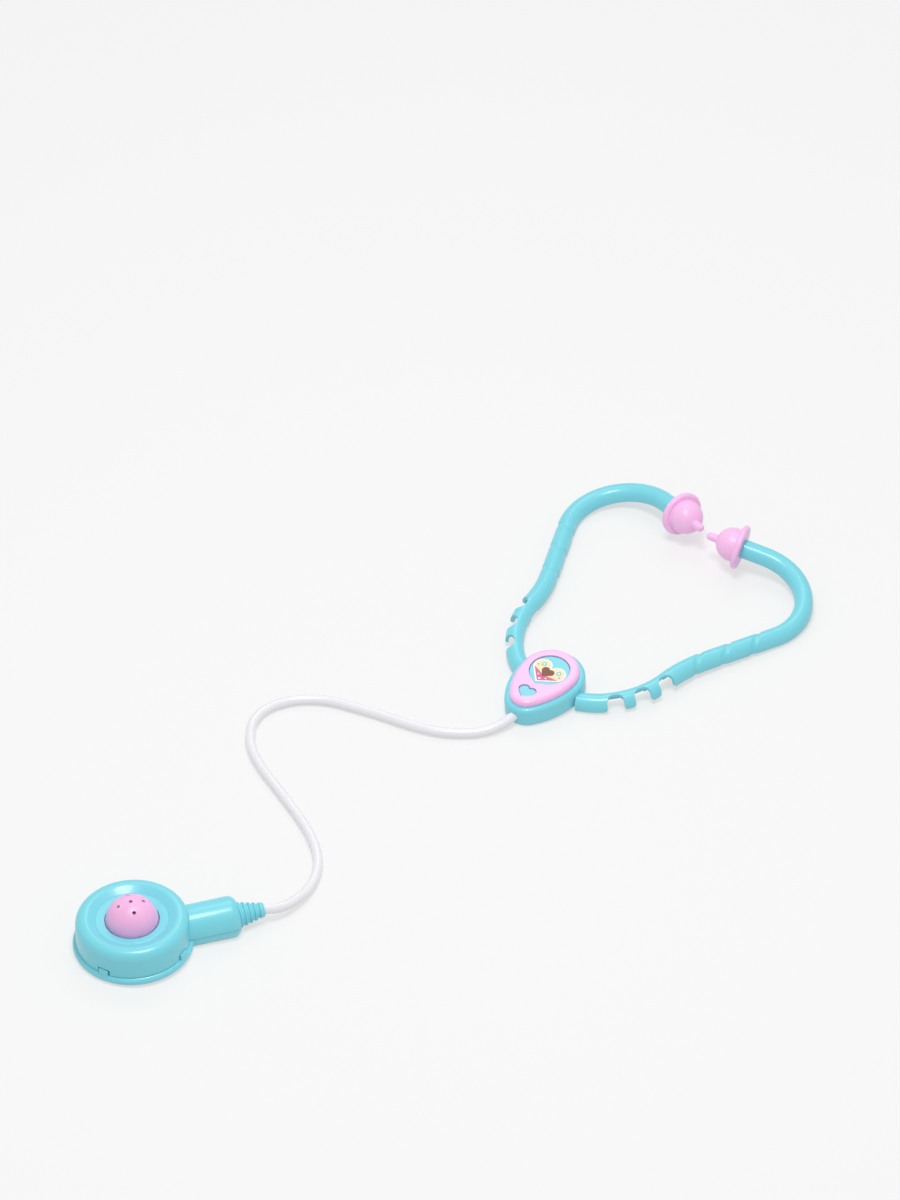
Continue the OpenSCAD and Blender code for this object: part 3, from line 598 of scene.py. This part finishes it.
def make_boot():
    step = BOOT_LEN / (2 * BOOT_RIBS)
    bore = HOSE_R + HOSE_FIT
    plug = STEM_END - BOOT_PLUG_LEN
    corners = [(bore, plug, 0), (BOOT_PLUG_R, plug, 0), (BOOT_PLUG_R, STEM_END, 0)]
    for i in range(2 * BOOT_RIBS):
        low = i % 2 == 1 and i < 2 * BOOT_RIBS - 1
        for end in (0, 1):
            length = (i + end) * step
            radius = BOOT_R + (BOOT_TIP_R - BOOT_R) * length / BOOT_LEN
            corner = (radius - (BOOT_GROOVE if low else 0), STEM_END + length, BOOT_RIB_ROUND)
            if corner != corners[-1]:
                corners.append(corner)
    corners += [(bore, STEM_END + BOOT_LEN, BOOT_END_ROUND), (bore, plug, 0)]
    boot = mesh_from("strain_relief_boot", lathe(rounded(corners, 4)[:-1], 64, closed=True), STEM)
    dress(boot, AQUA_SOFT, ROOT, "aqua_soft", "strain_relief")


# Yoke outlines
def arc(middle, radius, start, end, count):
    return [Vector(middle) + radius * along(start + (end - start) * i / count) for i in range(count)]


def egg(inset):
    """Yoke outline: round end, long sides and nose."""
    return [*arc((0, YOKE_MID), YOKE_R - inset, 0, 180, 48),
            *arc((SIDE_X, YOKE_MID), YOKE_SIDE_R - inset, 180, 270 - NOSE_TURN, 16),
            *arc((0, NOSE_MID), YOKE_NOSE_R - inset, 270 - NOSE_TURN, 270 + NOSE_TURN, 24),
            *arc((-SIDE_X, YOKE_MID), YOKE_SIDE_R - inset, 270 + NOSE_TURN, 360, 16)]


def egg_ring(inset, height):
    return [(p.x, p.y, height) for p in egg(inset)]


def edge_rings(inset, height, radius, count=8):
    """Rings of a rounded upper edge that ends at a height."""
    turns = [90 * i / count for i in range(count + 1)]
    return [egg_ring(inset + radius * (1 - cos(a)), height - radius + radius * sin(a)) for a in turns]


# Share of an inset that a heart's tip moves in by
HEART_TIP_SHIFT = 1.4


def heart(tip_y, lobe_x, lobe_y, lobe_r, inset=0, blunt=0, count=20):
    """Outline of a heart, or of a circle with a point where the lobes meet in the middle."""
    tip = Vector((0, tip_y + HEART_TIP_SHIFT * inset))
    middle = Vector((lobe_x, lobe_y))
    radius = lobe_r - inset
    way = middle - tip
    lean = math.degrees(math.asin(radius / way.length))
    first = math.degrees(math.atan2(way.y, way.x)) - lean - 90
    last = 180 - math.degrees(math.acos(min(1, lobe_x / radius))) if lobe_x else 90
    right = [middle + radius * along(first + (last - first) * i / count) for i in range(count + 1)]
    mirrored = [Vector((-p.x, p.y)) for p in reversed(right)]
    if blunt:
        point = rounded([(*mirrored[-1], 0), (*tip, blunt), (*right[0], 0)])[1:-1]
        return [*point, *right, *mirrored[1:]]
    return [tip, *right, *mirrored[1:]]


# Hearts: tip height, then the lobe's middle, sideways and up, and its radius
WINDOW = (26.2, 0, 39.9, 12.2)
SMALL_HEART = (12.9, 2.5, 19.3, 3.3)
SMALL_HEART_BLUNT = 1.5
STICKER = (28, 5.6, 40.1, 5.75)
STICKER_BLUNT = 0.8
STICKER_BORDER = 0.9
STICKER_INNER_BLUNT = 0.6
MOTIF = (33.4, 1.9, 38.8, 2.4)
MOTIF_BLUNT = 0.5
STICKER_T = 0.3
FILM_T = 0.03
STICKER_TURN = -6


def make_yoke():
    shell = [egg_ring(0, YOKE_BACK_T), *edge_rings(0, YOKE_H, SHOULDER_ROUND)]
    front = mesh_from("yoke_front_shell", loft(shell), HEADSET)
    nose = NOSE_MID - YOKE_NOSE_R
    bore = Matrix.Translation((0, nose - OVER, HOSE_ENTRY_H)) @ Matrix.Rotation(math.radians(-90), 4, "X")
    radius = HOSE_R + HOSE_FIT
    circle = [(radius * cos(a), radius * sin(a)) for a in range(0, 360, 10)]
    cut(front, [mesh_from("bore", prism(circle, 0, HOSE_DEPTH + OVER + PLAY), HEADSET @ bore)])
    floors = []
    for outline in (heart(*WINDOW, PLAY), heart(*SMALL_HEART, PLAY, SMALL_HEART_BLUNT - PLAY)):
        block = prism(outline, YOKE_H - SINK, YOKE_H + FLOOR_RISE)
        floors.append(mesh_from("floor_piece", block, HEADSET))
    cut(front, floors, "UNION")
    dress(front, AQUA, ROOT, "aqua", "yoke_front")
    foot = [egg_ring(YOKE_FOOT_INSET * (1 - sin(90 * i / 6)), YOKE_BACK_T * (1 - cos(90 * i / 6)))
            for i in range(7)]
    back = mesh_from("yoke_back_shell", loft(foot), HEADSET)
    dress(back, AQUA, ROOT, "aqua", "yoke_back")

    plate = [egg_ring(FASCIA_INSET + FASCIA_CHAMFER, YOKE_H),
             egg_ring(FASCIA_INSET, YOKE_H + FASCIA_CHAMFER),
             *edge_rings(FASCIA_INSET, YOKE_H + FASCIA_T, FASCIA_ROUND)]
    fascia = mesh_from("fascia_plate", loft(plate), HEADSET)
    openings = []
    for outline in (heart(*WINDOW), heart(*SMALL_HEART, 0, SMALL_HEART_BLUNT)):
        block = prism(outline, YOKE_H - SINK, YOKE_H + FASCIA_T + SINK)
        openings.append(mesh_from("opening", block, HEADSET))
    cut(fascia, openings)
    soften(fascia, FASCIA_EDGE, 3, 50)
    dress(fascia, PINK, ROOT, "pink", "yoke_fascia")


def make_sticker():
    """Heart label: white border, cream lobes, a rose point and small plain shapes."""
    low = YOKE_H + FLOOR_RISE
    top = low + STICKER_T
    middle = Vector((0, STICKER[2], 0))
    turn = (HEADSET @ Matrix.Translation(middle) @ Matrix.Rotation(math.radians(STICKER_TURN), 4, "Z")
            @ Matrix.Translation(-middle))
    paper = mesh_from("sticker_paper", prism(heart(*STICKER, 0, STICKER_BLUNT), low, top), turn)
    dress(paper, LABEL_WHITE, ROOT, "label", "heart_sticker")
    inner = heart(*STICKER, STICKER_BORDER, STICKER_INNER_BLUNT)
    cream = mesh_from("sticker_cream", prism(inner, top - FILM_T, top + FILM_T), turn)
    dress(cream, LABEL_CREAM, ROOT, "label")
    rose = mesh_from("sticker_rose", prism(inner, top - FILM_T, top + 2 * FILM_T), turn)
    above = [(-20, 39.6), (0, 34.8), (20, 39.6), (20, 60), (-20, 60)]
    cut(rose, [mesh_from("above", prism(above, low - OVER, top + OVER), turn)])
    dress(rose, LABEL_ROSE, ROOT, "label")
    motif = heart(*MOTIF, 0, MOTIF_BLUNT)
    small = mesh_from("sticker_heart", prism(motif, top - FILM_T, top + 3 * FILM_T), turn)
    dress(small, LABEL_BROWN, ROOT, "label")
    spots = [(-6, 41.6, 1.6, LABEL_AQUA), (6, 41.6, 1.6, LABEL_AQUA), (-6, 41.6, 0.7, LABEL_WHITE),
             (6, 41.6, 0.7, LABEL_WHITE), (-8.6, 39.3, 0.5, LABEL_ROSE), (8.6, 39.3, 0.5, LABEL_ROSE),
             (0, 31.3, 0.8, LABEL_WHITE), (-3, 33.6, 0.55, LABEL_WHITE), (3, 33.6, 0.55, LABEL_WHITE)]
    for i, (x, y, radius, material) in enumerate(spots):
        circle = [(x + radius * cos(a), y + radius * sin(a)) for a in range(0, 360, 15)]
        height = top + (4 if radius > 0.7 else 5) * FILM_T
        spot = mesh_from(f"sticker_spot_{i}", prism(circle, top - FILM_T, height), turn)
        dress(spot, material, ROOT, "label")


# Arms
def channel_section(count=20):
    """Section of an arm, sideways and up: round back, straight walls, open below."""
    def half(radius):
        bottom = -ARM_DROP
        arch = [(radius * cos(180 * i / count), radius * sin(180 * i / count)) for i in range(count + 1)]
        walls = [(radius, bottom * share) for share in (1, 0.66, 0.33)]
        return [*walls, *arch, *[(-x, y) for x, y in reversed(walls)]]
    return [*half(ARM_R), *reversed(half(ARM_R - ARM_WALL))]


def at_length(stops, length):
    """Point and direction on a path at a length."""
    for one, two in zip(stops, stops[1:]):
        if length <= two[2]:
            share = (length - one[2]) / (two[2] - one[2])
            return one[0].lerp(two[0], share), one[1] + (two[1] - one[1]) * share
    return stops[-1][0], stops[-1][1]


def beside(stops, length, n):
    """Point beside a path, n to its left at a length."""
    point, turn = at_length(stops, length)
    return point + n * left(turn)


def rib_corners(first, last):
    """Outline of a notch's lower end, along and up, that rounds the corners beside it."""
    r = RIB_ROUND
    curve = [(r - r * sin(a), r - r * cos(a)) for a in range(0, 91, 15)]
    ahead = [(last + x, z - ARM_DROP) for x, z in curve]
    back = [(first - x, z - ARM_DROP) for x, z in reversed(curve)]
    return [(first - r, -ARM_OVER), (last + r, -ARM_OVER), *ahead, *back]


def risen(stops, neck_end, index):
    """Lift and slope at a stop: the arm dips from the yoke's plane and its end rises."""
    point, turn, length = stops[index]
    if length <= neck_end:
        return 0, 0
    start, _ = at_length(stops, neck_end)
    share = max(0, (length - stops[-1][2] + RISE_LEN) / RISE_LEN)
    dip = math.tan(math.radians(ARM_DIP))
    lift = TIP_RISE * (2 * share ** 2 - share ** 3) - dip * (point.y - start.y)
    slope = math.atan(TIP_RISE / RISE_LEN * (4 * share - 3 * share ** 2) - dip * sin(turn))
    return lift, math.degrees(slope)


def groove(length, n, side):
    """Share of the groove depth at a place on an arm."""
    spots = [GROOVE_START[side] + GROOVE_PITCH * i for i in range(GROOVE_COUNT)]
    gaps = [abs(length - spot - GROOVE_SLANT[side] * n) / GROOVE_W for spot in spots]
    return max(0, min(1, 3 * (1 - min(gaps))))


def make_arm(side, sign):
    stops, neck_start, neck_end = arm_path(sign * ARM_LEAN)
    mirror = HEADSET @ Matrix.Translation((0, 0, ARM_H)) @ Matrix.Diagonal((sign, 1, 1, 1))
    section = channel_section()
    rings = []
    for index, (point, turn, length) in enumerate(stops):
        lift, slope = risen(stops, neck_end, index)
        ring = []
        for i, (n, z) in enumerate(section):
            if i < len(section) // 2:
                share = 1 - GROOVE_DEPTH / ARM_R * groove(length, n, side)
                n, z = n * share, z * share if z > 0 else z
            spot = point + n * left(turn) - z * sin(slope) * along(turn)
            ring.append((spot.x, spot.y, lift + z * cos(slope)))
        rings.append(ring)
    arm = mesh_from(f"{side}_arm_moulding", loft(rings), mirror)
    notch = (NECK_LEN - NECK_RIBS * RIB_W) / (NECK_RIBS + 1)
    cutters = []
    for i in range(NECK_RIBS + 1):
        first = neck_start + i * (notch + RIB_W)
        last = first + notch
        side_cut = rounded([(first, -ARM_OVER, 0), (first, NOTCH_IN, NOTCH_ROUND),
                            (last, NOTCH_IN, NOTCH_ROUND), (last, -ARM_OVER, 0)], 8)
        lengths = [first + notch * k / 6 for k in range(7)]
        low_cut = [(length, ARM_OVER) for length in lengths]
        low_cut += [(length, -ARM_OVER) for length in reversed(lengths)]
        for outline, high in ((side_cut, ARM_OVER), (low_cut, -SPINE_DROP)):
            plan = [beside(stops, length, n) for length, n in outline]
            cutters.append(mesh_from("notch", prism(plan, -ARM_OVER, high), mirror))
        flare = rib_corners(first, last)
        sides = (-ARM_OVER, -NOTCH_IN - OVER)
        rows = [[(*beside(stops, length, n), z) for length, z in flare] for n in sides]
        cutters.append(mesh_from("corner", loft(rows), mirror))
    cut(arm, cutters)
    dress(arm, AQUA, None, "aqua", f"{side}_arm_root", f"{side}_flex_neck", f"{side}_arm", sharp=45)
    for length in (neck_start, neck_end):
        point, _ = at_length(stops, length)
    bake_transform(arm)

    point, turn, _ = stops[-1]
    lift, slope = risen(stops, neck_end, -1)
    axis = (mirror @ Matrix.Translation((point.x, point.y, lift))
            @ Matrix.Rotation(math.radians(turn), 4, "Z")
            @ Matrix.Rotation(math.radians(90 - slope), 4, "Y"))
    make_ear_tip(side, axis)


def make_ear_tip(side, matrix):
    base = EAR_FLANGE_T + EAR_DOME_LEN
    join = math.degrees(math.asin((NUB_R + NUB_FOOT_W) / EAR_DOME_R))
    turns = [(90 - join) * i / 16 for i in range(17)]
    dome = [(EAR_DOME_R * cos(a), base + EAR_DOME_R * sin(a)) for a in turns]
    nub_end = base + EAR_DOME_R + NUB_LEN
    foot = base + EAR_DOME_R * cos(join)
    nub = [(NUB_R + 0.25, foot + 0.3), (NUB_R, foot + 1)]
    nub += [(NUB_R * cos(a), nub_end - NUB_R + NUB_R * sin(a)) for a in range(0, 91, 10)]
    nub[-1] = (0, nub_end)
    flange = rounded([(0, 0, 0), (EAR_FLANGE_R, 0, EAR_BACK_ROUND),
                      (EAR_FLANGE_R, EAR_FLANGE_T, EAR_RIM_ROUND),
                      (EAR_DOME_R, EAR_FLANGE_T - EAR_NECK_SINK, EAR_NECK_ROUND), (EAR_DOME_R, base, 0)])
    tip = mesh_from(f"{side}_ear_tip_soft", lathe([*flange, *dome[1:], *nub], 96), matrix)
    dress(tip, PINK_SOFT, f"{side}_arm", "pink_soft", f"{side}_ear_tip", sharp=60)


# Stage: pale floor, even sky and soft lamps
def floor_paper():
    """Pale paper that shows soft, light shadows to the camera and throws back a little less light."""
    material = bpy.data.materials.new("floor_paper")
    material.use_nodes = True
    nodes = material.node_tree.nodes
    links = material.node_tree.links
    shader = nodes["Principled BSDF"]
    shader.inputs["Base Color"].default_value = (FLOOR_GREY, FLOOR_GREY, FLOOR_GREY, 1)
    shader.inputs["Roughness"].default_value = 0.9
    shader.inputs["Specular IOR Level"].default_value = 0.1
    glow = nodes.new("ShaderNodeEmission")
    glow.inputs["Color"].default_value = (1, 1, 1, 1)
    glow.inputs["Strength"].default_value = FLOOR_GLOW
    ray = nodes.new("ShaderNodeLightPath")
    share = nodes.new("ShaderNodeMath")
    share.operation = "MULTIPLY"
    share.inputs[1].default_value = FLOOR_GLOW_SHARE
    mix = nodes.new("ShaderNodeMixShader")
    seen = ray.outputs["Is Camera Ray"]
    for kind in ("Is Glossy Ray", "Is Transmission Ray"):
        either = nodes.new("ShaderNodeMath")
        either.operation = "MAXIMUM"
        links.new(seen, either.inputs[0])
        links.new(ray.outputs[kind], either.inputs[1])
        seen = either.outputs["Value"]
    links.new(seen, share.inputs[0])
    links.new(share.outputs["Value"], mix.inputs["Fac"])
    links.new(shader.outputs["BSDF"], mix.inputs[1])
    links.new(glow.outputs["Emission"], mix.inputs[2])
    links.new(mix.outputs["Shader"], nodes["Material Output"].inputs["Surface"])
    return material


def make_stage():
    bpy.ops.mesh.primitive_plane_add(size=FLOOR_SIZE, location=(0, 0.2, FLOOR_Z * MM))
    floor = bpy.context.object
    floor.name = "floor"
    floor.data.materials.append(floor_paper())

    world = bpy.data.worlds.new("sky")
    bpy.context.scene.world = world
    world.use_nodes = True
    sky = world.node_tree.nodes["Background"]
    sky.inputs["Color"].default_value = (1, 1, 1, 1)
    sky.inputs["Strength"].default_value = SKY_STRENGTH
    add_lamp("key", (0.19, 0.03, 1.78), 0.6, 16)
    add_lamp("fill", (-0.6, 1.2, 1.5), 0.9, 4)


def add_lamp(name, place, size, power):
    data = bpy.data.lights.new(name, "AREA")
    data.shape = "DISK"
    data.size = size
    data.energy = power
    lamp = bpy.data.objects.new(name, data)
    bpy.context.scene.collection.objects.link(lamp)
    lamp.location = place
    aim = Vector(LAMP_AIM) - Vector(place)
    lamp.rotation_euler = aim.to_track_quat("-Z", "Y").to_euler()


def paint_kept_nodes():
    """CAD nodes that keep their shape get the finished materials."""
    kept = {"squeaker_reed": INNER_WHITE, "yoke_screws": STEEL}
    for name, material in kept.items():
        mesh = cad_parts[name].data
        mesh.materials.clear()
        mesh.materials.append(material)


bpy.context.scene.view_settings.view_transform = "Standard"
make_camera()
make_hose()
make_chest()
make_dome()
make_bellows()
make_boot()
make_yoke()
make_sticker()
make_arm("left", -1)
make_arm("right", 1)
paint_kept_nodes()
make_stage()
